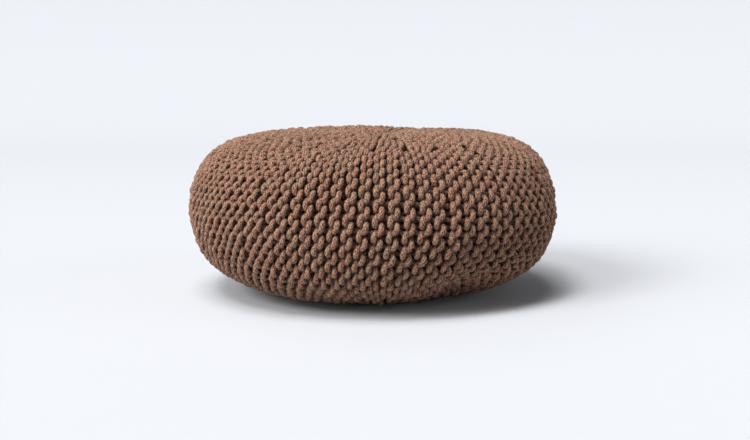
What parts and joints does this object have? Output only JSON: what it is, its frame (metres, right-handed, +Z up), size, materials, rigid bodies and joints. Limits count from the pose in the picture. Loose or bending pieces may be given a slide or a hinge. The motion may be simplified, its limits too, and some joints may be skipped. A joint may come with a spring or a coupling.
{
  "type": "knitted pouf",
  "caption": "Low round floor pouf: a filled cushion in a thick garter-stitch knitted cover, used as a footrest or a low seat.",
  "frame": {"origin": "on the floor below the middle of the pouf, at the bottom centre of its box", "axes": "+Z up, +X to the right of the pouf as the picture shows it, and -Y towards the picture's viewer"},
  "size_m": [0.6952, 0.6996, 0.3029],
  "materials": {
    "cotton_cord": "thick braided cotton cord, mid brown, matt"
  },
  "bodies": {
    "root": {"knitted_pouf": "cotton_cord"}
  },
  "joints": []
}
